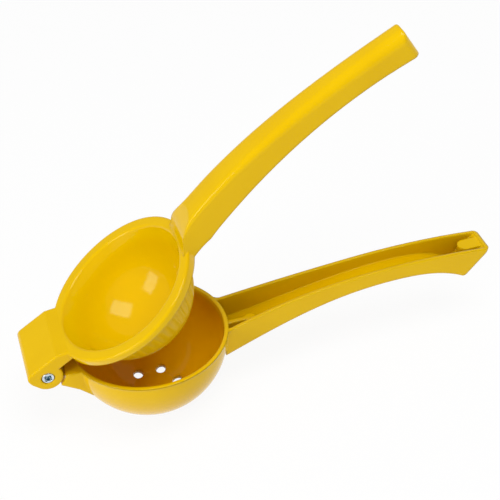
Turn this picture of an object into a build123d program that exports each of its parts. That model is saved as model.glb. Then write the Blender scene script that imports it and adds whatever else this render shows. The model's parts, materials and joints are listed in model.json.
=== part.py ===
from build123d import *
import os
from math import acos, atan2, cos, radians, sin, sqrt

os.makedirs("parts", exist_ok=True)

# Hinged lemon squeezer: two aluminium castings on one pin, half open.
# Millimetres and degrees.  +X runs from the hinge to the handle ends, +Z is up,
# and the origin is the centre of the flat that the cup stands on.

# ---------------------------------------------------------------- driving sizes
# Cup
cup_radius = 37.55          # outside of the round part of the cup
rim_flare = 0.45            # how much further out the rim stands
cup_wall = 1.85
cup_band = 1.7              # straight band between the rim and the round bottom
base_radius = 10.5          # flat that the squeezer stands on
floor_thickness = 1.8
drain_count = 6
drain_offset = 0.9          # ring of drain holes, outside the base flat's edge
drain_diameter = 4.8

# Hinge
hinge_overhang = 11.75      # pin axis beyond the cup's side
hinge_height = 1.1          # pin axis above the cup's rim
hinge_width = 32.4          # over the outside faces of the two ears
hinge_round = 0.8           # softened long edges of the ears and the hinge plate
ear_radius = 6.9
ear_thickness = 6.4
ear_gap = 1.1               # round the ears, to the hollows in the neck
tongue_radius = 5.2
side_clearance = 0.3        # tongue to ear, on each side
swing_clearance = 0.45      # tongue to the underside of the hinge plate
running_clearance = 0.05    # sleeve in its bores, on the radius
sleeve_diameter = 5.0
screw_diameter = 3.0
screw_depth = 12.0          # how far the screw reaches into the sleeve
head_diameter = 5.6
head_height = 1.1
head_dome = 0.45            # how far the head's middle stands above its edge
seat_clearance = 0.3        # round each head, in its counterbore
recess_width = 1.3          # cross recess in the screw head
recess_length = 3.9
recess_depth = 0.9

# Neck, between the cup and the hinge
neck_end_drop = 6.05        # lower corner beside the ears, below the pin
neck_knee_inset = 1.15      # where the underside bends down to the cup, inside its side
neck_knee_drop = 10.3       # the same point, below the rim
neck_foot_drop = 16.4       # where the underside runs into the cup, below the rim

# Press: flange, bowl and fluted dome
flange_overhang = 0.1       # flange beyond the cup's rim
flange_lift = 0.9           # underside above the cup's rim when the levers are parallel
flange_thickness = 3.5      # at the middle of each side
flange_dish = 1.9           # how much the top rises towards the hinge and the handle
flange_round = 1.1
juice_gap = 4.1             # dome to the inside of the cup
dome_rise = 1.15            # centre of the dome, above the flange's underside
press_wall = 1.8
mouth_start = 12.0          # the bowl starts to flare this far below the dome's equator
mouth_flare = 2.0           # how much further out it is just below its mouth
mouth_lean = 2.4            # and how much more at the hinge plate's height
mouth_round = 1.3
root_blend = 4.5            # soft corner between the flange and the handle, from above
root_taper = 20.0           # how far that corner's side leans in
flute_count = 44
flute_radius = 2.2
flute_depth = 0.85
flute_tilt = 21.0           # middle of each flute, down from the dome's equator
flute_length = 24.0         # length of the rod that cuts each flute

# Hinge plate
plate_rise = 2.0            # top of the plate above the ends of the flange
plate_overhang = 7.6        # end of the plate beyond the pin
plate_end_round = 3.6
plate_underside = 1.3       # above the cup's rim
plate_slope_gap = 0.5       # the top runs down from here, outside the flange
plate_slope_run = 5.9       # to here, further in
lip_height = 4.0            # lower edge of the plate's end wall, above the pin

# Handles: each edge is a cubic curve, given by its heights above the cup's rim at
# the start, at two pulling points a third and two thirds along, and at the end.
press_length = 128.3        # from the flange's edge to the end
press_top_heights = (13.6, 27.1, 25.8, 23.2)
press_under_heights = (-2.0, 12.3, 16.9, 9.2)
press_root_underside = 0.8
press_half_width = 7.56
press_taper = 1.13          # how much narrower each side is at the end
press_flare = 4.6           # how much wider each side is where it leaves the flange
press_flare_run = 12.0      # where that widening stops, from the flange's edge
press_crown = 0.6
press_corner_start = 1.5
press_corner_end = 5.2
press_handle_wall = 1.9
press_end_round = 1.3
press_end_corner = 3.4      # corners of the end, from above
channel_depth = 9.0         # how far below the rim the channel's cutter reaches
ramp_inset = 4.4            # where the ramp leaves the flange, inside its edge
ramp_knee = (-1.3, 9.9)     # a point of the ramp: run from the flange's edge, height
ramp_crest = (8.6, 16.0)    # where the ramp meets the handle's top
ramp_slope = 0.5            # rise over run at the ramp's foot and crest

lower_length = 133.0
lower_rim_heights = (-0.5, 9.1, 12.2, 7.3)
lower_half_width = 7.9
lower_flare = 4.6           # how much wider each side is at the cup
lower_flare_run = 67.0      # where that widening stops, from the cup's rim
lower_wall = 1.6
lower_root_sink = 4.0       # how far the handle's root reaches inside the rim
lower_root_blend = 5.0      # soft corner between the rim and the handle, from above
lower_root_taper = 30.0     # how far that corner's side leans in
lower_end_round = 2.4       # corners of the end, from above
lower_root_drop = 15.4      # underside where the handle leaves the cup
lower_mid_run = 46.0
lower_mid_height = -2.4
lower_grip_run = 85.0
lower_grip_height = 1.85
beak_start_back = 27.0      # back from the handle's end
beak_start_height = -0.4
beak_tip_back = 12.6
beak_tip_height = -6.5
beak_round = 2.0
rest_boss_run = 12.0        # little round rest inside the handle, near the cup
rest_boss_diameter = 5.6
rest_boss_drop = 8.2        # its top below the handle's edge
rest_web_thickness = 2.6
tip_boss_back = 9.8
tip_boss_diameter = 7.4
tip_boss_drop = 1.3

# How far the press stands open, from parallel levers
opening_angle = 32.1

# ---------------------------------------------------------------- worked-out sizes
sphere_drop = cup_band                                   # rim down to the cup's centre
cup_depth = sphere_drop + sqrt(cup_radius**2 - base_radius**2)
rim_z = cup_depth
centre_z = rim_z - sphere_drop
inner_radius = cup_radius - cup_wall
rim_radius = cup_radius + rim_flare
drain_ring = base_radius + drain_offset

hinge_reach = cup_radius + hinge_overhang
neck_knee_reach = cup_radius - neck_knee_inset
pin_x = -hinge_reach
pin_z = rim_z + hinge_height
half_hinge = hinge_width / 2
ear_inner = half_hinge - ear_thickness
tongue_half = ear_inner - side_clearance
hollow_radius = ear_radius + ear_gap
pocket_radius = tongue_radius + swing_clearance
sleeve_radius = sleeve_diameter / 2
bore_radius = sleeve_radius + running_clearance
seat_radius = head_diameter / 2 + seat_clearance
seat_y = half_hinge - head_height                        # floor of each counterbore
pin_axis = Axis((pin_x, 0, pin_z), (0, -1, 0))

flange_radius = rim_radius + flange_overhang
flange_z = rim_z + flange_lift
land_z = flange_z + flange_thickness
land_end_z = land_z + flange_dish
plate_z = land_end_z + plate_rise
plate_end_reach = hinge_reach + plate_overhang
plate_slope_start = flange_radius + plate_slope_gap
plate_slope_end = plate_slope_start - plate_slope_run
dome_radius = inner_radius - juice_gap
dome_z = flange_z + dome_rise
bowl_radius = dome_radius - press_wall

handle_start = rim_radius
press_reach = handle_start + press_length
lower_reach = handle_start + lower_length
lower_root_x = handle_start - lower_root_sink
lower_flare_end = handle_start + lower_flare_run
lower_mid_reach = handle_start + lower_mid_run
lower_grip_reach = handle_start + lower_grip_run
beak_start = lower_reach - beak_start_back
beak_tip_reach = lower_reach - beak_tip_back
rest_boss_reach = handle_start + rest_boss_run
tip_boss_reach = lower_reach - tip_boss_back


def cubic(heights, share):
    """Height of a handle's edge at a share of its run."""
    a, b, c, d = heights
    rest = 1 - share
    return a * rest**3 + 3 * b * rest**2 * share + 3 * c * rest * share**2 + d * share**3


# ---------------------------------------------------------------- cup lever
# Points that the outside and the hollow of the lower handle share.
lower_third = lower_length / 3
lower_slant = atan2(lower_rim_heights[3] - beak_tip_height, lower_reach - beak_tip_reach)
lower_end_wall = lower_wall / sin(lower_slant)


def lower_plan(inset):
    """Outline of the lower handle from above, widening to the cup, drawn in by a wall."""
    half = lower_half_width - inset
    root = (lower_root_x, half + lower_flare)
    pull = ((lower_root_x + lower_flare_end) / 2, half)
    far_side = Bezier(root, pull, (lower_flare_end, half))
    near_side = Bezier((root[0], -root[1]), (pull[0], -half), (lower_flare_end, -half))
    Polyline(far_side @ 1, (lower_reach, half), (lower_reach, -half), near_side @ 1)
    Line(near_side @ 0, far_side @ 0)


def lower_underside(lift, end_wall):
    """Points of the lower handle's underside, from the beak's tip back to the cup."""
    return [
        (beak_tip_reach - end_wall, rim_z + beak_tip_height + lift),
        (beak_start, rim_z + beak_start_height + lift),
        (lower_grip_reach, rim_z + lower_grip_height + lift),
        (lower_mid_reach, rim_z + lower_mid_height + lift),
        (lower_root_x, rim_z - lower_root_drop + lift),
    ]


# Lower handle: side outline, then cut to its plan.
with BuildPart() as lower_bar:
    with BuildSketch(Plane.XZ) as lower_side:
        with BuildLine():
            lower_rim = Bezier(
                (handle_start, rim_z + lower_rim_heights[0]),
                (handle_start + lower_third, rim_z + lower_rim_heights[1]),
                (lower_reach - lower_third, rim_z + lower_rim_heights[2]),
                (lower_reach, rim_z + lower_rim_heights[3]),
            )
            underside = lower_underside(0, 0)
            Line(lower_rim @ 1, underside[0])
            Spline(*underside)
            Polyline(underside[-1], (lower_root_x, rim_z + lower_rim_heights[0]), lower_rim @ 0)
        make_face()
        beak_corner = lower_side.vertices().sort_by(Axis.Y)[1:].sort_by(Axis.X)[-2]
        fillet(beak_corner, radius=beak_round)
    extrude(amount=lower_half_width + lower_flare, both=True)
    with BuildSketch(Plane.XY):
        with BuildLine():
            lower_plan(0)
        make_face()
        fillet(vertices().group_by(Axis.X)[-1], radius=lower_end_round)
    extrude(amount=rim_z * 2, both=True, mode=Mode.INTERSECT)

# The hollow in it, round the little rest near the cup and the boss at the tip.
with BuildPart() as lower_hollow:
    with BuildSketch(Plane.XZ):
        with BuildLine():
            floor_points = lower_underside(lower_wall, lower_end_wall)
            above = rim_z * 1.6
            hollow_end = (lower_reach - lower_end_wall, rim_z + lower_rim_heights[3])
            Spline(*floor_points)
            Polyline(
                floor_points[-1],
                (lower_root_x, above),
                (hollow_end[0], above),
                hollow_end,
                floor_points[0],
            )
        make_face()
    extrude(amount=lower_half_width + lower_flare, both=True)
    with BuildSketch(Plane.XY):
        with BuildLine():
            lower_plan(lower_wall)
        make_face()
        fillet(vertices().group_by(Axis.X)[-1], radius=lower_end_round - lower_wall / 2)
    extrude(amount=above, mode=Mode.INTERSECT)
    rest_share = rest_boss_run / lower_length
    rest_top = rim_z + cubic(lower_rim_heights, rest_share) - rest_boss_drop
    with BuildSketch(Plane.XY.offset(rest_top)):
        with Locations((rest_boss_reach, 0)):
            Circle(rest_boss_diameter / 2)
            Rectangle(rest_boss_reach, rest_web_thickness, align=(Align.MAX, Align.CENTER))
    extrude(amount=-rest_top, mode=Mode.SUBTRACT)
    tip_share = (tip_boss_reach - handle_start) / lower_length
    tip_top = rim_z + cubic(lower_rim_heights, tip_share) - tip_boss_drop
    with BuildSketch(Plane.XY.offset(tip_top)):
        with Locations((tip_boss_reach, 0)):
            Circle(tip_boss_diameter / 2)
            Rectangle(lower_reach, tip_boss_diameter, align=(Align.MIN, Align.CENTER))
    extrude(amount=-tip_top, mode=Mode.SUBTRACT)
    with Locations((0, 0, centre_z)):
        Sphere(cup_radius, mode=Mode.SUBTRACT)
        standing = (Align.CENTER, Align.CENTER, Align.MIN)
        Cone(cup_radius, rim_radius, cup_band, align=standing, mode=Mode.SUBTRACT)

with BuildPart() as cup_lever:
    # Round cup, still solid: rim band, ball and flat base.
    with BuildSketch(Plane.XZ):
        ball_angle = atan2(-centre_z, base_radius)
        ball_middle = (cup_radius * cos(ball_angle / 2), centre_z + cup_radius * sin(ball_angle / 2))
        with BuildLine():
            Line((0, 0), (base_radius, 0))
            ThreePointArc((base_radius, 0), ball_middle, (cup_radius, centre_z))
            Polyline((cup_radius, centre_z), (rim_radius, rim_z), (0, rim_z), (0, 0))
        make_face()
    revolve(axis=Axis.Z)

    # Neck: as wide as the hinge, level with the rim, hollowed round the ears.
    neck_foot_x = -sqrt(cup_radius**2 - (neck_foot_drop - sphere_drop) ** 2 - half_hinge**2)
    neck_end_x = pin_x + sqrt(hollow_radius**2 - neck_end_drop**2)
    neck_end = (neck_end_x, pin_z - neck_end_drop)
    with BuildSketch(Plane.XZ):
        with BuildLine():
            Polyline(
                (neck_end_x, rim_z),
                (neck_foot_x, rim_z),
                (neck_foot_x, rim_z - neck_foot_drop),
                (-neck_knee_reach, rim_z - neck_knee_drop),
                neck_end,
                close=True,
            )
        make_face()
        with Locations((pin_x, pin_z)):
            Circle(hollow_radius, mode=Mode.SUBTRACT)
    extrude(amount=half_hinge, both=True)

    # Tongue between the ears, round the pin.
    tangent_angle = atan2(-neck_end_drop, neck_end_x - pin_x) - acos(tongue_radius / hollow_radius)
    tangent_point = (pin_x + tongue_radius * cos(tangent_angle), pin_z + tongue_radius * sin(tangent_angle))
    with BuildSketch(Plane.XZ):
        with BuildLine():
            Polyline(
                (pin_x, pin_z),
                tangent_point,
                neck_end,
                (-neck_knee_reach, neck_end[1]),
                (-neck_knee_reach, rim_z),
                (pin_x + sqrt(tongue_radius**2 - hinge_height**2), rim_z),
                close=True,
            )
        make_face()
        with Locations((pin_x, pin_z)):
            Circle(tongue_radius)
    extrude(amount=tongue_half, both=True)
    with BuildSketch(Plane.XZ):
        with Locations((pin_x, pin_z)):
            Circle(bore_radius)
    extrude(amount=half_hinge, both=True, mode=Mode.SUBTRACT)

    # Handle, with soft corners where it leaves the rim.
    add(lower_bar.part)
    with BuildSketch(Plane.XY.offset(rim_z + lower_rim_heights[0])):
        with BuildLine():
            lower_plan(0)
        make_face()
        blend_reach = handle_start + 2 * lower_root_blend
        Rectangle(blend_reach, hinge_width, align=(Align.MIN, Align.CENTER), mode=Mode.INTERSECT)
        Circle(rim_radius)
        fillet(vertices().sort_by(Axis.X)[:2], radius=lower_root_blend)
    extrude(amount=-2 * lower_root_blend, taper=lower_root_taper)
    add(lower_hollow.part, mode=Mode.SUBTRACT)

    # Inside of the cup, with its flat floor.
    floor_radius = sqrt(inner_radius**2 - (centre_z - floor_thickness) ** 2)
    with BuildSketch(Plane.XZ):
        bowl_angle = atan2(floor_thickness - centre_z, floor_radius)
        bowl_middle = (inner_radius * cos(bowl_angle / 2), centre_z + inner_radius * sin(bowl_angle / 2))
        with BuildLine():
            Line((0, floor_thickness), (floor_radius, floor_thickness))
            ThreePointArc((floor_radius, floor_thickness), bowl_middle, (inner_radius, centre_z))
            Polyline(
                (inner_radius, centre_z),
                (inner_radius + 2 * rim_flare, rim_z + cup_band),
                (0, rim_z + cup_band),
                (0, floor_thickness),
            )
        make_face()
    revolve(axis=Axis.Z, mode=Mode.SUBTRACT)

    # Drain holes, straight down through the floor.
    with BuildSketch(Plane.XY):
        with PolarLocations(drain_ring, drain_count):
            Circle(drain_diameter / 2)
    extrude(amount=centre_z, mode=Mode.SUBTRACT)

cup_lever.part.label = "cup_lever"
export_step(cup_lever.part, "parts/cup_lever.step")

# ---------------------------------------------------------------- press lever
# Modelled with the levers parallel, then swung open about the pin.
root_x = handle_start - ramp_inset
stations = [root_x, handle_start, handle_start + press_flare_run / 2, handle_start + press_flare_run]
stations += [handle_start + share * press_length for share in (0.17, 0.26, 0.38, 0.5, 0.62, 0.75, 0.87, 1)]


def press_section(reach, inset):
    """Corner heights, half width and corner radius of the press handle at one place."""
    share = (reach - handle_start) / press_length
    top = rim_z + cubic(press_top_heights, share) - inset
    under = rim_z + cubic(press_under_heights, share)
    left = max(handle_start + press_flare_run - reach, 0) / (press_flare_run + ramp_inset)
    half = press_half_width - press_taper * share + press_flare * left**2 - inset
    corner = press_corner_start + (press_corner_end - press_corner_start) * share - inset / 2
    return top, under, half, corner


def ramp_line(drop):
    """Side view of the ramp from the flange up to the handle's top, lowered by a wall."""
    foot = (root_x, land_end_z - drop)
    knee = (handle_start + ramp_knee[0], rim_z + ramp_knee[1] - drop)
    crest = (handle_start + ramp_crest[0], rim_z + ramp_crest[1] - drop)
    Spline(foot, knee, crest, tangents=((1, ramp_slope), (1, ramp_slope)))
    beyond = (press_reach, crest[1] + ramp_slope * press_length)
    above = 2 * press_length
    Polyline(crest, beyond, (press_reach, above), (0, above), (0, foot[1]), foot)


# Press handle: rounded sections lofted along the arch.
with BuildPart() as press_bar:
    for reach in stations:
        top, under, half, corner = press_section(reach, 0)
        with BuildSketch(Plane.YZ.offset(reach)):
            with BuildLine():
                brow = top - press_crown
                Polyline((-half, brow), (-half, under), (half, under), (half, brow))
                ThreePointArc((half, brow), (0, top), (-half, brow))
            make_face()
            fillet(vertices().group_by(Axis.Y)[-1], radius=corner)
    loft()
    split(bisect_by=Plane.XY.offset(rim_z + press_root_underside), keep=Keep.TOP)
    half = press_section(press_reach - 2 * press_end_corner, 0)[2]
    with BuildSketch(Plane.XY.offset(rim_z)):
        with Locations((press_reach - press_end_corner, half - press_end_corner)):
            Rectangle(2 * press_end_corner, 2 * press_end_corner, align=(Align.MIN, Align.MIN))
            Circle(press_end_corner, mode=Mode.SUBTRACT)
        mirror(about=Plane.XZ)
    extrude(amount=2 * rim_z, mode=Mode.SUBTRACT)
    end_z = rim_z + press_top_heights[-1]
    end_edges = edges().filter_by_position(Axis.X, press_reach - press_end_corner, press_reach)
    fillet(end_edges.filter_by_position(Axis.Z, end_z - press_end_corner, end_z), radius=press_end_round)
    with BuildSketch(Plane.XZ):
        with BuildLine():
            ramp_line(0)
        make_face()
    extrude(amount=2 * press_half_width, both=True, mode=Mode.SUBTRACT)

# Channel along its underside, stopping short of the flange, the ramp and the end.
with BuildPart() as press_channel:
    for reach in stations[2:-1] + [press_reach - press_handle_wall]:
        top, under, half, corner = press_section(reach, press_handle_wall)
        floor = rim_z - channel_depth
        with BuildSketch(Plane.YZ.offset(reach)):
            with BuildLine():
                brow = top - press_crown
                Polyline((-half, brow), (-half, floor), (half, floor), (half, brow))
                ThreePointArc((half, brow), (0, top), (-half, brow))
            make_face()
            fillet(vertices().group_by(Axis.Y)[-1], radius=corner)
    loft()
    with BuildSketch(Plane.XZ):
        with BuildLine():
            ramp_line(1.3 * press_handle_wall)
        make_face()
    extrude(amount=2 * press_half_width, both=True, mode=Mode.SUBTRACT)
    with Locations((0, 0, land_z)):
        Cylinder(flange_radius + press_handle_wall, rim_z * 2, mode=Mode.SUBTRACT)

# One flute's cutter: a straight rod laid against the dome, so it fades out at both ends.
flute_reach = dome_radius + flute_radius - flute_depth
tilt = radians(flute_tilt)
rod_plane = Plane(
    origin=(flute_reach * cos(tilt), 0, dome_z - flute_reach * sin(tilt)),
    z_dir=(-sin(tilt), 0, -cos(tilt)),
)
with BuildPart() as flute:
    with BuildSketch(rod_plane):
        Circle(flute_radius)
    extrude(amount=flute_length / 2, both=True)

# Fluted dome and its flange, hollowed to a bowl.
with BuildPart() as press_bowl:
    with BuildSketch(Plane.XZ):
        with Locations((0, dome_z)):
            Circle(dome_radius)
            Rectangle(dome_radius, dome_radius * 2, align=(Align.MAX, Align.CENTER), mode=Mode.SUBTRACT)
            Rectangle(dome_radius, dome_radius, align=(Align.MIN, Align.MIN), mode=Mode.SUBTRACT)
    revolve(axis=Axis.Z)
    with PolarLocations(0, flute_count):
        add(flute.part, mode=Mode.SUBTRACT)
    with BuildSketch(Plane.XY.offset(flange_z)):
        Circle(flange_radius)
    extrude(amount=land_end_z - flange_z)

    # The top is dished: lowest at the middle of each side.
    with BuildSketch(Plane.XZ):
        with BuildLine():
            dish = ThreePointArc((-flange_radius, land_end_z), (0, land_z), (flange_radius, land_end_z))
            Polyline(dish @ 1, (flange_radius, plate_z), (-flange_radius, plate_z), dish @ 0)
        make_face()
    extrude(amount=flange_radius, both=True, mode=Mode.SUBTRACT)
    fillet(edges().group_by(Axis.Z)[-1], radius=flange_round)

    # Bowl with its flared, rounded mouth.
    with BuildSketch(Plane.XZ):
        with BuildLine():
            lean = radians(mouth_start)
            middle = radians(45 + mouth_start / 2)
            bowl_middle = (bowl_radius * cos(middle), dome_z - bowl_radius * sin(middle))
            flare_start = (bowl_radius * cos(lean), dome_z - bowl_radius * sin(lean))
            mouth = (bowl_radius + mouth_flare, land_z - mouth_round)
            ThreePointArc((0, dome_z - bowl_radius), bowl_middle, flare_start)
            TangentArc(flare_start, mouth, tangent=(sin(lean), cos(lean)))
            Polyline(mouth, (mouth[0] + mouth_lean, plate_z), (0, plate_z), (0, dome_z - bowl_radius))
        make_face()
    revolve(axis=Axis.Z, mode=Mode.SUBTRACT)
    fillet(edges(Select.LAST).sort_by(SortBy.LENGTH)[-1], radius=mouth_round)

# Hinge plate and ears: one side outline, its long edges softened.
with BuildPart() as hinge_block:
    with BuildSketch(Plane.XZ):
        with BuildLine():
            Polyline(
                (pin_x + ear_radius * cos(radians(200)), pin_z + ear_radius * sin(radians(200))),
                (-plate_end_reach, pin_z + lip_height / 2),
                (-plate_end_reach, plate_z),
                (-plate_slope_start, plate_z),
                (-plate_slope_end, land_end_z - hinge_round),
                (-plate_slope_end, flange_z),
                (-plate_slope_end - flange_round, rim_z + plate_underside),
                (pin_x, rim_z + plate_underside),
                (pin_x, pin_z),
                close=True,
            )
        make_face()
        end_corner = vertices().group_by(Axis.Y)[-1].sort_by(Axis.X)[0]
        fillet(end_corner, radius=plate_end_round)
        with Locations((pin_x, pin_z)):
            Circle(ear_radius)
    extrude(amount=half_hinge, both=True)
    sides = faces().filter_by(Axis.Y)
    fillet(sides.edges(), radius=hinge_round)

    # Pocket for the tongue and the neck, between the ears.
    with BuildSketch(Plane.XZ):
        with Locations((pin_x, pin_z)):
            Circle(pocket_radius)
            with Locations((0, lip_height)):
                Rectangle(hinge_reach, hinge_reach, align=(Align.MAX, Align.MAX))
        with Locations((pin_x, rim_z + plate_underside)):
            Rectangle(ear_radius + ear_gap, hinge_reach, align=(Align.MIN, Align.MAX))
    extrude(amount=ear_inner, both=True, mode=Mode.SUBTRACT)

with BuildPart() as press_casting:
    add(press_bowl.part)
    add(hinge_block.part)

    # Handle, with a soft skirt where it leaves the flange.
    add(press_bar.part)
    with BuildSketch(Plane.XY.offset(flange_z)):
        blend_reach = handle_start + 0.8 * root_blend
        root_half = press_section(handle_start + root_blend, 0)[2]
        Rectangle(blend_reach, 2 * root_half, align=(Align.MIN, Align.CENTER))
        Circle(flange_radius)
        fillet(vertices().sort_by(Axis.X)[:2], radius=root_blend)
        Circle(bowl_radius + press_wall, mode=Mode.SUBTRACT)
    extrude(amount=flange_thickness, taper=root_taper)
    add(press_channel.part, mode=Mode.SUBTRACT)

    # Pin bore and the two counterbores.
    with BuildSketch(Plane.XZ):
        with Locations((pin_x, pin_z)):
            Circle(bore_radius)
    extrude(amount=half_hinge, both=True, mode=Mode.SUBTRACT)
    for side in (Plane.XZ.offset(seat_y), Plane.XZ.offset(-half_hinge)):
        with BuildSketch(side):
            with Locations((pin_x, pin_z)):
                Circle(seat_radius)
        extrude(amount=head_height, mode=Mode.SUBTRACT)

with BuildPart() as press_lever:
    add(press_casting.part.rotate(pin_axis, opening_angle))

press_lever.part.label = "press_lever"
export_step(press_lever.part, "parts/press_lever.step")

# ---------------------------------------------------------------- hinge screw and sleeve
# Both lie along the pin, seated in the ears' counterbores.
with BuildPart() as hinge_sleeve:
    with BuildSketch(Plane.XZ.offset(-half_hinge)):
        with Locations((pin_x, pin_z)):
            Circle(head_diameter / 2)
    extrude(amount=head_height)
    with BuildSketch(Plane.XZ.offset(-seat_y)):
        with Locations((pin_x, pin_z)):
            Circle(sleeve_radius)
    extrude(amount=2 * seat_y - side_clearance)
    with BuildSketch(Plane.XZ.offset(seat_y)):
        with Locations((pin_x, pin_z)):
            Circle(screw_diameter / 2 + running_clearance)
    extrude(amount=-screw_depth - head_height, mode=Mode.SUBTRACT)
    fillet(edges().group_by(Axis.Y)[-1], radius=head_dome)

hinge_sleeve.part.label = "hinge_sleeve"
export_step(hinge_sleeve.part, "parts/hinge_sleeve.step")

with BuildPart() as hinge_screw:
    with BuildSketch(Plane.XZ.offset(seat_y)):
        with Locations((pin_x, pin_z)):
            Circle(head_diameter / 2)
    extrude(amount=head_height)
    fillet(edges().group_by(Axis.Y)[0], radius=head_dome)
    with BuildSketch(Plane.XZ.offset(seat_y)):
        with Locations((pin_x, pin_z)):
            Circle(screw_diameter / 2)
    extrude(amount=-screw_depth)
    with BuildSketch(Plane.XZ.offset(half_hinge)):
        with Locations((pin_x, pin_z)):
            Rectangle(recess_length, recess_width, rotation=45)
            Rectangle(recess_width, recess_length, rotation=45)
    extrude(amount=-recess_depth, mode=Mode.SUBTRACT)

hinge_screw.part.label = "hinge_screw"
export_step(hinge_screw.part, "parts/hinge_screw.step")
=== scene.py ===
# %% [markdown]
# # A hinged lemon squeezer
#
# Two aluminium castings in yellow enamel turn on one hinge screw: a cup on a
# channel handle, and a pressing bowl on another. This script loads the packed
# castings, gives each piece its finish, and lights them.

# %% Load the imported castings
import json
import math

import bmesh
import bpy
from mathutils import Matrix, Vector


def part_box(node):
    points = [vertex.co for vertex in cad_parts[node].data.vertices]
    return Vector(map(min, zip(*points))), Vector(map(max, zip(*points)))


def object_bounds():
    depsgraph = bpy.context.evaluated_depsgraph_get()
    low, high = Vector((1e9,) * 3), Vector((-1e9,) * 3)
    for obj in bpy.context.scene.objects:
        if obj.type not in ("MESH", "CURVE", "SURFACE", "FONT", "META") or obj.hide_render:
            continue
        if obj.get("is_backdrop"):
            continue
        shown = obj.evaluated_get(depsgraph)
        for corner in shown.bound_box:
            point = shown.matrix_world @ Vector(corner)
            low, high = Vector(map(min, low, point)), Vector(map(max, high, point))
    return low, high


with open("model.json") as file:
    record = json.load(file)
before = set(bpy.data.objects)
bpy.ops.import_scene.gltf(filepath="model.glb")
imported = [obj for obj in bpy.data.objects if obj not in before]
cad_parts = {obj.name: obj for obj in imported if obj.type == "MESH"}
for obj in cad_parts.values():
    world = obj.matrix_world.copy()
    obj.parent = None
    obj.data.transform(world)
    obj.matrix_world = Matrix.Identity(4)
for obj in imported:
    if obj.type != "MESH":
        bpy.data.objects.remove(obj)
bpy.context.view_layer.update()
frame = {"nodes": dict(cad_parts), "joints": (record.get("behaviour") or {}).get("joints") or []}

castings = frame["nodes"]
for name in castings:
    low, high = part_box(name)
    size = [round(1000 * (b - a), 1) for a, b in zip(low, high)]
    print(f"{name}: {size} mm")


# %% [markdown]
# ## The camera
#
# A camera can be aimed with a Track To constraint, or its matrix can be written
# out. Written out it can hold the small roll of a hand-placed product camera,
# so the matrix was chosen. Its first two columns are the picture's right and up.

# %% Place the camera
picture_right = Vector((0.953082, -0.299823, -0.041732)).normalized()
picture_up = Vector((0.219534, 0.589678, 0.777229)).normalized()
towards_lens = picture_right.cross(picture_up).normalized()
lens_place = Vector((-0.060307, -0.403317, 0.409576))
squeezer_middle = Vector((0.04, 0, 0.06))

lens = bpy.data.cameras.new("product_camera")
lens.sensor_width = 36.0
lens.sensor_fit = "HORIZONTAL"
lens.lens = 84.683
lens.clip_start = 0.02
lens.clip_end = 20.0
camera = bpy.data.objects.new("product_camera", lens)
bpy.context.scene.collection.objects.link(camera)
turned = Matrix((picture_right, picture_up, towards_lens)).transposed()
camera.matrix_world = Matrix.Translation(lens_place) @ turned.to_4x4()
bpy.context.scene.camera = camera
bpy.context.scene.view_settings.view_transform = "Standard"
distance = (lens_place - squeezer_middle).length
print(f"camera {1000 * distance:.0f} mm from the squeezer's middle")


# %% [markdown]
# ## Shader maths in plain Python
#
# A material's nodes can be placed one by one, but sums written that way are
# hard to read. Here a small class wraps a socket, and the usual operators add
# Math nodes, so a mask reads as `1 - wear * 0.5`. A place on a piece is a length
# in metres, so `zone` makes a mask of one from stops in plain millimetres.

# %% Wrap a shader's sockets
class Value:
    """One output socket that can be added, taken away, multiplied and bent."""

    def __init__(self, finish, socket):
        self.finish = finish
        self.socket = socket

    def _with(self, operation, first, second):
        return self.finish.node(
            "ShaderNodeMath", {"operation": operation}, {0: first, 1: second}
        )["Value"]

    def __add__(self, other):
        return self._with("ADD", self, other)

    def __sub__(self, other):
        return self._with("SUBTRACT", self, other)

    def __mul__(self, other):
        return self._with("MULTIPLY", self, other)

    __radd__ = __add__
    __rmul__ = __mul__

    def __rsub__(self, other):
        return self._with("SUBTRACT", other, self)

    def ramp(self, *stops):
        """The value bent along a ramp of (place, shade) stops."""
        return self.finish.node(
            "ShaderNodeValToRGB", {"stops": stops}, {"Fac": self}
        )["Color"]

    def zone(self, span, *stops):
        """A length made a mask: `span` mm is the whole ramp, and stops are in mm."""
        places = [(place / span, shade) for place, shade in stops]
        return (self * (1000 / span)).ramp(*places)


print("a shader's values can be added, taken away, multiplied and bent")


# %% [markdown]
# ## One finish, one material
#
# Each finish below is a material of ten to fifty nodes. They could be drawn in
# the node editor, but then nobody could read in the script what a finish is
# made of. One method adds every node: its settings first, then what each socket
# holds or is linked to.

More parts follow.
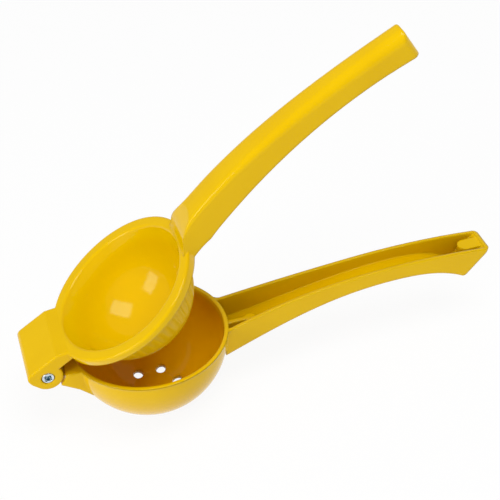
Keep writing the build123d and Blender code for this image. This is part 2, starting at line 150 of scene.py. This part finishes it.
# %% Start a finish
class Finish:
    """A material, and the one method that adds its nodes."""

    def __init__(self, name):
        self.material = bpy.data.materials.new(name)
        self.material.use_nodes = True
        self.tree = self.material.node_tree
        self.tree.nodes.clear()

    def node(self, kind, settings=None, inputs=None):
        """Adds a node, sets it up, fills its sockets, and returns its outputs."""
        made = self.tree.nodes.new(kind)
        for key, setting in (settings or {}).items():
            if key == "stops":
                self._stops(made.color_ramp, setting)
            else:
                setattr(made, key, setting)
        for key, given in (inputs or {}).items():
            if isinstance(given, Value):
                self.tree.links.new(given.socket, made.inputs[key])
            else:
                made.inputs[key].default_value = given
        return {out.name: Value(self, out) for out in made.outputs if out.enabled}

    @staticmethod
    def _stops(ramp, stops):
        while len(ramp.elements) < len(stops):
            ramp.elements.new(0.5)
        for element, (place, shade) in zip(ramp.elements, stops):
            element.position = place
            element.color = (shade, shade, shade, 1)

    def here(self):
        """The piece's own coordinates, in metres."""
        return self.node("ShaderNodeTexCoord")["Object"]

    def vectors(self, operation, *given):
        """Vector Math on one or two vectors, as a vector or a plain number."""
        made = self.node(
            "ShaderNodeVectorMath", {"operation": operation}, dict(enumerate(given))
        )
        return made.get("Value") or made.get("Vector")

    def surface(self, **sockets):
        """Ends the material in one Principled shader."""
        named = {key.replace("_", " "): given for key, given in sockets.items()}
        return self.end(self.node("ShaderNodeBsdfPrincipled", {}, named)["BSDF"])

    def end(self, shader):
        """Ends the material in the shader given."""
        self.node("ShaderNodeOutputMaterial", {}, {"Surface": shader})
        print(f"finish {self.material.name}: {len(self.tree.nodes)} nodes")
        return self.material


print("a finish can add nodes, measure a place and end in a surface")


# %% [markdown]
# ## Layers that every finish shares
#
# No real surface is one even colour with knife edges. So the finishes share a
# few layers: clouds of noise to break up a colour, a blend of two colours,
# edges that catch the light, and a fine relief. The clouds could be an image,
# but noise from a formula stays sharp close up and needs no unwrapping. Edges
# could be bevelled in the mesh, but the castings stay as they are, so a Bevel
# node only rounds the shading.

# %% Scatter clouds and blend colours
def clouds(finish, scale, detail, roughness=0.5):
    """Cloudy noise on the piece's own coordinates, `scale` clouds to a metre."""
    sockets = {
        "Vector": finish.here(), "Scale": scale, "Detail": detail, "Roughness": roughness
    }
    return finish.node("ShaderNodeTexNoise", {}, sockets)["Fac"]


def blend(share, under, over):
    """Mixes two colours, at the Mix node's sockets 6 and 7, by a share from 0 to 1."""
    return share.finish.node(
        "ShaderNodeMix", {"data_type": "RGBA"}, {0: share, 6: under, 7: over}
    )["Result"]


print("a finish can be clouded and blended")


# %% Round the edges and raise the surface
edge_samples = 12


def soft_edges(finish, radius):
    """The normal of a surface whose sharp edges are rounded to `radius` metres."""
    return finish.node(
        "ShaderNodeBevel", {"samples": edge_samples}, {"Radius": radius}
    )["Normal"]


def bump(height, depth, under, strength=1.0):
    """Raises the surface by `height` times `depth` metres, over the normal under it."""
    sockets = {"Height": height, "Distance": depth, "Strength": strength, "Normal": under}
    return height.finish.node("ShaderNodeBump", {}, sockets)["Normal"]


print(f"{edge_samples} samples round each edge")


# %% [markdown]
# ## Yellow enamel
#
# The castings are blasted, sprayed with powder and baked. The coat is thick and
# glossy, but it keeps a faint ripple (orange peel), its colour is a little
# thinner over the edges and deeper in random clouds where it pools, and handling
# leaves a cloudy sheen. Shade is painted into the colour too: browner in the
# nooks, and a tint inside that stands in for light bounced or shaded there. A
# flat yellow would be quicker, but it would look like a plastic toy, so each of
# these gets a layer of its own, with noise at its real size.

# %% Find thin edges, and where to paint shade into nooks
edge_radius = 0.0014
wear_clouds = 420
nook_reach = 0.02
nook_samples = 8


def thin_edges(coat, rounded):
    """1 where the coat has drawn thin over an edge, broken up by small clouds."""
    flat = coat.node("ShaderNodeNewGeometry")["Normal"]
    turned_by = 1 - coat.vectors("DOT_PRODUCT", flat, rounded)
    wear = clouds(coat, wear_clouds, 4).ramp((0.35, 0.35), (0.65, 1.0))
    return turned_by.ramp((0.05, 0.0), (0.25, 1.0)) * wear


def painted_nook_shade(coat):
    """Painted shade: 1 in a narrow nook, where little light gets in, and 0 where nothing stands
    within `nook_reach` metres.
    """
    sky = coat.node(
        "ShaderNodeAmbientOcclusion",
        {"samples": nook_samples, "only_local": True},
        {"Distance": nook_reach},
    )["AO"]
    return sky.ramp((0.1, 1.0), (0.75, 0.0))


print(f"edges {1000 * edge_radius:.1f} mm, nooks {1000 * nook_reach:.0f} mm")


# %% [markdown]
# ## The coat as a whole
#
# The colours are laid one over another, as they could be brushed on: pools
# first, then a painted inside tint for the light bounced or shaded there, then
# painted shade in the nooks, then thin edges. The shine is a sum of its own. At
# full strength it would spread the white floor over every face and wash the
# yellow out, so it is weak and a little tinted, and the soft boxes are what
# shows in it most.

# %% Mix the enamel
pool_clouds = 38
touch_clouds = 95
peel_clouds = 520
peel_height = 0.000003
# Painted shade: the brown amber laid into the nooks.
nook_shade_amber = (0.45, 0.26, 0.0, 1)
edge_share = 0.3
# Roughness of a clean coat, then what handling, thin edges and dull powder add.
clean, handled, worn, powdery = 0.05, 0.07, 0.08, 0.3
shine, shine_tint = 0.2, (0.65, 1.0, 0.75, 1.0)


def enamel(name, yellow, amber, pale, inside, nook_shade_share=0.0, dull=None):
    """Yellow enamel, with the mask and colour of a painted inside tint for light bounced or
    shaded there, and a mask of duller coat.
    """
    coat = Finish(name)
    pools = clouds(coat, pool_clouds, 3).ramp((0.35, 0.0), (0.7, 1.0))
    tint = blend(pools, yellow, amber)
    # Painted light and shade: the inside is tinted for the light bounced or shaded there.
    mask, painted_lining = inside
    tint = blend(mask(coat), tint, painted_lining)
    # Painted shade: the nooks are darkened towards brown amber.
    if nook_shade_share:
        tint = blend(painted_nook_shade(coat) * nook_shade_share, tint, nook_shade_amber)
    rounded = soft_edges(coat, edge_radius)
    thin = thin_edges(coat, rounded)
    tint = blend(thin * edge_share, tint, pale)

    gloss = clean + clouds(coat, touch_clouds, 4, 0.6) * handled + thin * worn
    if dull is not None:
        gloss = gloss + dull(coat) * powdery
    return coat.surface(
        Base_Color=tint,
        Roughness=gloss,
        Specular_IOR_Level=shine,
        Specular_Tint=shine_tint,
        Normal=bump(clouds(coat, peel_clouds, 1.0, 0.4), peel_height, rounded),
    )


# %% [markdown]
# ## The cup
#
# Light that falls into the cup bounces from yellow to yellow, and the inside
# lies in shade, so it looks nearly orange. That bounce and shade are painted
# into the colour as an orange tint. A second material slot could hold that
# colour, but the casting is one mesh of loose triangles that stays as it is. So
# a mask finds the inside by its distance from the middle of the cup's ball and
# its height below the rim.

# %% Spray the cup
ball_middle = (0, 0, 0.03605)


def inside_cup(coat):
    """1 inside the round cup, below its rim, and 0 everywhere else."""
    at = coat.here()
    from_middle = coat.vectors("DISTANCE", at, ball_middle)
    height = coat.node("ShaderNodeSeparateXYZ", {}, {"Vector": at})["Z"]
    within = from_middle.zone(50, (35.8, 1.0), (36.5, 0.0))
    return within * height.zone(50, (33.0, 1.0), (37.25, 0.0))


cup_enamel = enamel(
    "cup_enamel",
    (0.81, 0.505, 0.0, 1),
    (0.78, 0.475, 0.0, 1),
    (0.85, 0.56, 0.01, 1),
    # Painted bounced light and shade: the cup's inside is tinted orange.
    inside=(inside_cup, (0.87, 0.445, 0.0, 1)),
    nook_shade_share=0.5,
)


# %% [markdown]
# ## The press
#
# The press is a dome outside and a bowl inside. The powder gathers between the
# flutes, which come out duller. The bowl's inside is painted a little yellower,
# to offset the orange that light bounced in it gives. Both masks measure from the
# dome's centre. The centre is easy to give with the squeezer closed, so it is
# given that way and then swung open about the hinge pin, as the casting was.

# %% Find the dome's centre
open_angle = math.radians(32.1)
dome_height = 0.0398  # of its centre, with the squeezer closed
hinge_pin = Vector(frame["joints"][0]["pos_m"])
lifted = Matrix.Rotation(-open_angle, 3, "Y")
dome_centre = hinge_pin + lifted @ (Vector((0, 0, dome_height)) - hinge_pin)
dome_down = lifted @ Vector((0, 0, -1))
print("dome's centre", [round(1000 * along, 1) for along in dome_centre], "mm")


# %% Spray the press
def round_the_dome(coat):
    """The way to a point from the dome's centre, and how far the point faces out."""
    at = coat.node("ShaderNodeTexCoord")
    away = coat.vectors("SUBTRACT", at["Object"], tuple(dome_centre))
    return away, coat.vectors("DOT_PRODUCT", away, at["Normal"])


def fluted_band(coat):
    """1 on the flutes round the dome, where the powder lies thick and duller."""
    away, facing = round_the_dome(coat)
    reach = coat.vectors("LENGTH", away)
    down = coat.vectors("DOT_PRODUCT", away, tuple(dome_down))
    shell = reach.zone(40, (30.0, 0.0), (30.4, 1.0), (32.0, 1.0), (32.4, 0.0))
    band = down.zone(40, (0.4, 0.0), (1.6, 1.0), (18.0, 1.0), (26.0, 0.0))
    return shell * band * facing.zone(40, (4.0, 0.0), (12.0, 1.0))


def inside_bowl(coat):
    """1 on the inside of the pressing bowl, where a painted yellower tint offsets light bounced
    in the bowl.
    """
    away, facing = round_the_dome(coat)
    hollow = coat.vectors("LENGTH", away).zone(40, (31.6, 1.0), (33.2, 0.0))
    return hollow * (0 - facing).zone(40, (4.0, 0.0), (20.0, 1.0))


press_enamel = enamel(
    "press_enamel",
    (0.80, 0.50, 0.0, 1),
    (0.77, 0.47, 0.0, 1),
    (0.84, 0.55, 0.01, 1),
    # Painted light: the bowl's inside is tinted a little yellower, against the orange of bounced
    # light.
    inside=(inside_bowl, (0.79, 0.512, 0.0, 1)),
    dull=fluted_band,
)


# %% [markdown]
# ## Zinc-plated steel
#
# The screw and its sleeve are turned from bar and zinc plated. Turning leaves
# fine rings round the axis, which here lies along Y, and the plating has a
# bluish cast. Shade and reflection in the screw's recess are painted into its
# colour, as a dark, patchy teal over that cast. The rings could be cut in the
# mesh, but they are far too fine for that. They come from a stretched noise
# instead: one value all the way round, and many across.

# %% Measure round the hinge pin
def round_the_pin(plate):
    """How far a point lies from the pin's axis, and how far along it."""
    away = plate.vectors("SUBTRACT", plate.here(), tuple(hinge_pin))
    parts = plate.node("ShaderNodeSeparateXYZ", {}, {"Vector": away})
    squared = parts["X"] * parts["X"] + parts["Z"] * parts["Z"]
    reach = plate.node("ShaderNodeMath", {"operation": "SQRT"}, {0: squared})["Value"]
    return reach, parts["Y"]


print("hinge pin", [round(1000 * along, 1) for along in hinge_pin], "mm")


# %% Plate the screw and its sleeve
rings_across, rings_along = 3200.0, 900.0
ring_depth, ring_strength = 0.00002, 0.5
plating_clouds = 700
patch_clouds = 1500
cloudy = 0.16
bar_edge_radius = 0.00025


def plated(name, steel, blue, roughness, painted_recess_shade=None):
    """Turned and plated steel, with painted shade and reflection, a dark teal, over the middle
    of the screw's head where its cross is cut.
    """
    plate = Finish(name)
    reach, along = round_the_pin(plate)
    rings_at = plate.node(
        "ShaderNodeCombineXYZ", {}, {"X": reach * rings_across, "Y": along * rings_along}
    )["Vector"]
    rings = plate.node(
        "ShaderNodeTexNoise", {}, {"Vector": rings_at, "Scale": 1.0, "Detail": 3.0}
    )["Fac"]
    cloud = clouds(plate, plating_clouds, 3, 0.6)
    tint = blend(cloud.ramp((0.3, 0.0), (0.75, 1.0)), steel, blue)
    # Painted shade and reflection: the middle of the head is darkened to teal, in patches.
    if painted_recess_shade is not None:
        patchy = clouds(plate, patch_clouds, 2).ramp((0.35, 0.35), (0.6, 1.0))
        tint = blend(reach.zone(2.5, (1.5, 1.0), (1.7, 0.0)) * patchy, tint, painted_recess_shade)
    rounded = soft_edges(plate, bar_edge_radius)
    return plate.surface(
        Base_Color=tint,
        Metallic=1.0,
        Roughness=roughness + cloud * cloudy,
        Normal=bump(rings, ring_depth, rounded, ring_strength),
    )


sleeve_steel = plated(
    "plated_steel", (0.68, 0.69, 0.70, 1), (0.56, 0.62, 0.68, 1), 0.18
)
screw_steel = plated(
    "screw_steel",
    (0.74, 0.78, 0.81, 1),
    (0.52, 0.64, 0.70, 1),
    0.16,
    # Painted shade and reflection in the screw's recess, a dark teal.
    painted_recess_shade=(0.03, 0.13, 0.18, 1),
)


# %% [markdown]
# ## Put the finishes on
#
# A casting that already has the right shape could be copied and dressed, but
# it can as well keep its mesh and only get a better finish in its material
# slots.

# %% Fill the material slots
finishes = {
    "cup_lever": cup_enamel,
    "press_lever": press_enamel,
    "hinge_sleeve": sleeve_steel,
    "hinge_screw": screw_steel,
}
for name, finish in finishes.items():
    slots = castings[name].data.materials
    slots.clear()
    slots.append(finish)
    print(f"{name} wears {finish.name}")


# %% [markdown]
# ## The floor
#
# A product is often shot on a pale sweep of paper. One wide flat sheet does the
# same work here: it takes the soft shadow under the cup and throws light up
# into the castings. Stronger lamps could burn it to white, but they would burn
# the yellow too. So the sheet is matt paper to the light that falls on it, and
# mostly plain white to the camera and in what shines.

# %% Lay the floor
half_width = 40.0
floor_mesh = bpy.data.meshes.new("floor")
sheet_form = bmesh.new()
bmesh.ops.create_grid(sheet_form, x_segments=1, y_segments=1, size=half_width)
sheet_form.to_mesh(floor_mesh)
sheet_form.free()
floor = bpy.data.objects.new("floor", floor_mesh)
bpy.context.scene.collection.objects.link(floor)
floor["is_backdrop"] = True
print(f"floor {floor.dimensions.x:.0f} m wide")


# %% Whiten the paper
grain_clouds = 900
white_share = 0.92
paper = Finish("pale_paper")
grain = clouds(paper, grain_clouds, 3)
sheet_tint = blend(grain, (0.93, 0.93, 0.93, 1), (0.95, 0.95, 0.95, 1))
matt = {"Base Color": sheet_tint, "Roughness": 0.9, "Specular IOR Level": 0.1}
sheet = paper.node("ShaderNodeBsdfPrincipled", {}, matt)["BSDF"]
white = paper.node("ShaderNodeEmission", {}, {"Color": (1, 1, 1, 1), "Strength": 1.0})
ray = paper.node("ShaderNodeLightPath")
seen = ray["Is Camera Ray"] + ray["Is Glossy Ray"] + ray["Is Transmission Ray"]
lit = {0: seen * white_share, 1: sheet, 2: white["Emission"]}
floor_mesh.materials.append(
    paper.end(paper.node("ShaderNodeMixShader", {}, lit)["Shader"])
)


# %% [markdown]
# ## The room and its soft boxes
#
# A studio fills the room with even light, then shapes a glossy thing with soft
# boxes. The room could be a picture of a studio wrapped round the scene, but a
# plain dim world keeps the yellow deep and the same from all sides. Two area
# lamps hang in it, one overhead and one to the left, and the glossy bowl shows
# them as two soft squares.

# %% Light the room
room_strength = 0.38
room = bpy.data.worlds.new("white_room")
room.use_nodes = True
bpy.context.scene.world = room
room_light = room.node_tree.nodes["Background"]
room_light.inputs["Color"].default_value = (1, 1, 1, 1)
room_light.inputs["Strength"].default_value = room_strength
print(f"room light {room_strength:.2f}")


# %% Hang the soft boxes
box_distance = 1.2
box_radiance = 6.0
bowl_middle = Vector((-0.015, 0, 0.05))


def soft_box(name, towards, across, width, height):
    """A soft box off that way from the bowl, its width lying along `across`."""
    lamp = bpy.data.lights.new(name, "AREA")
    lamp.shape = "RECTANGLE"
    lamp.size = width
    lamp.size_y = height
    lamp.energy = box_radiance * math.pi * width * height
    holder = bpy.data.objects.new(name, lamp)
    bpy.context.scene.collection.objects.link(holder)
    back = Vector(towards).normalized()
    up = back.cross(Vector(across)).normalized()
    turned = Matrix((up.cross(back), up, back)).transposed()
    place = Matrix.Translation(bowl_middle + box_distance * back)
    holder.matrix_world = place @ turned.to_4x4()
    print(f"{name}: {lamp.energy:.1f} W")


soft_box("overhead_box", (0.125, -0.27, 0.955), (0.87, -0.42, -0.18), 0.75, 0.578)
soft_box("left_box", (-0.83, -0.425, 0.346), (-0.5, 0.86, 0.12), 0.435, 0.75)


# %% [markdown]
# ## The size
#
# The dressed squeezer must fill the same box as the castings it was made from.
# Its box is printed, to set beside the castings' sizes printed at the start.

# %% Print the visual box
low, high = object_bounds()
print("visual box", [round(1000 * (b - a), 1) for a, b in zip(low, high)], "mm")
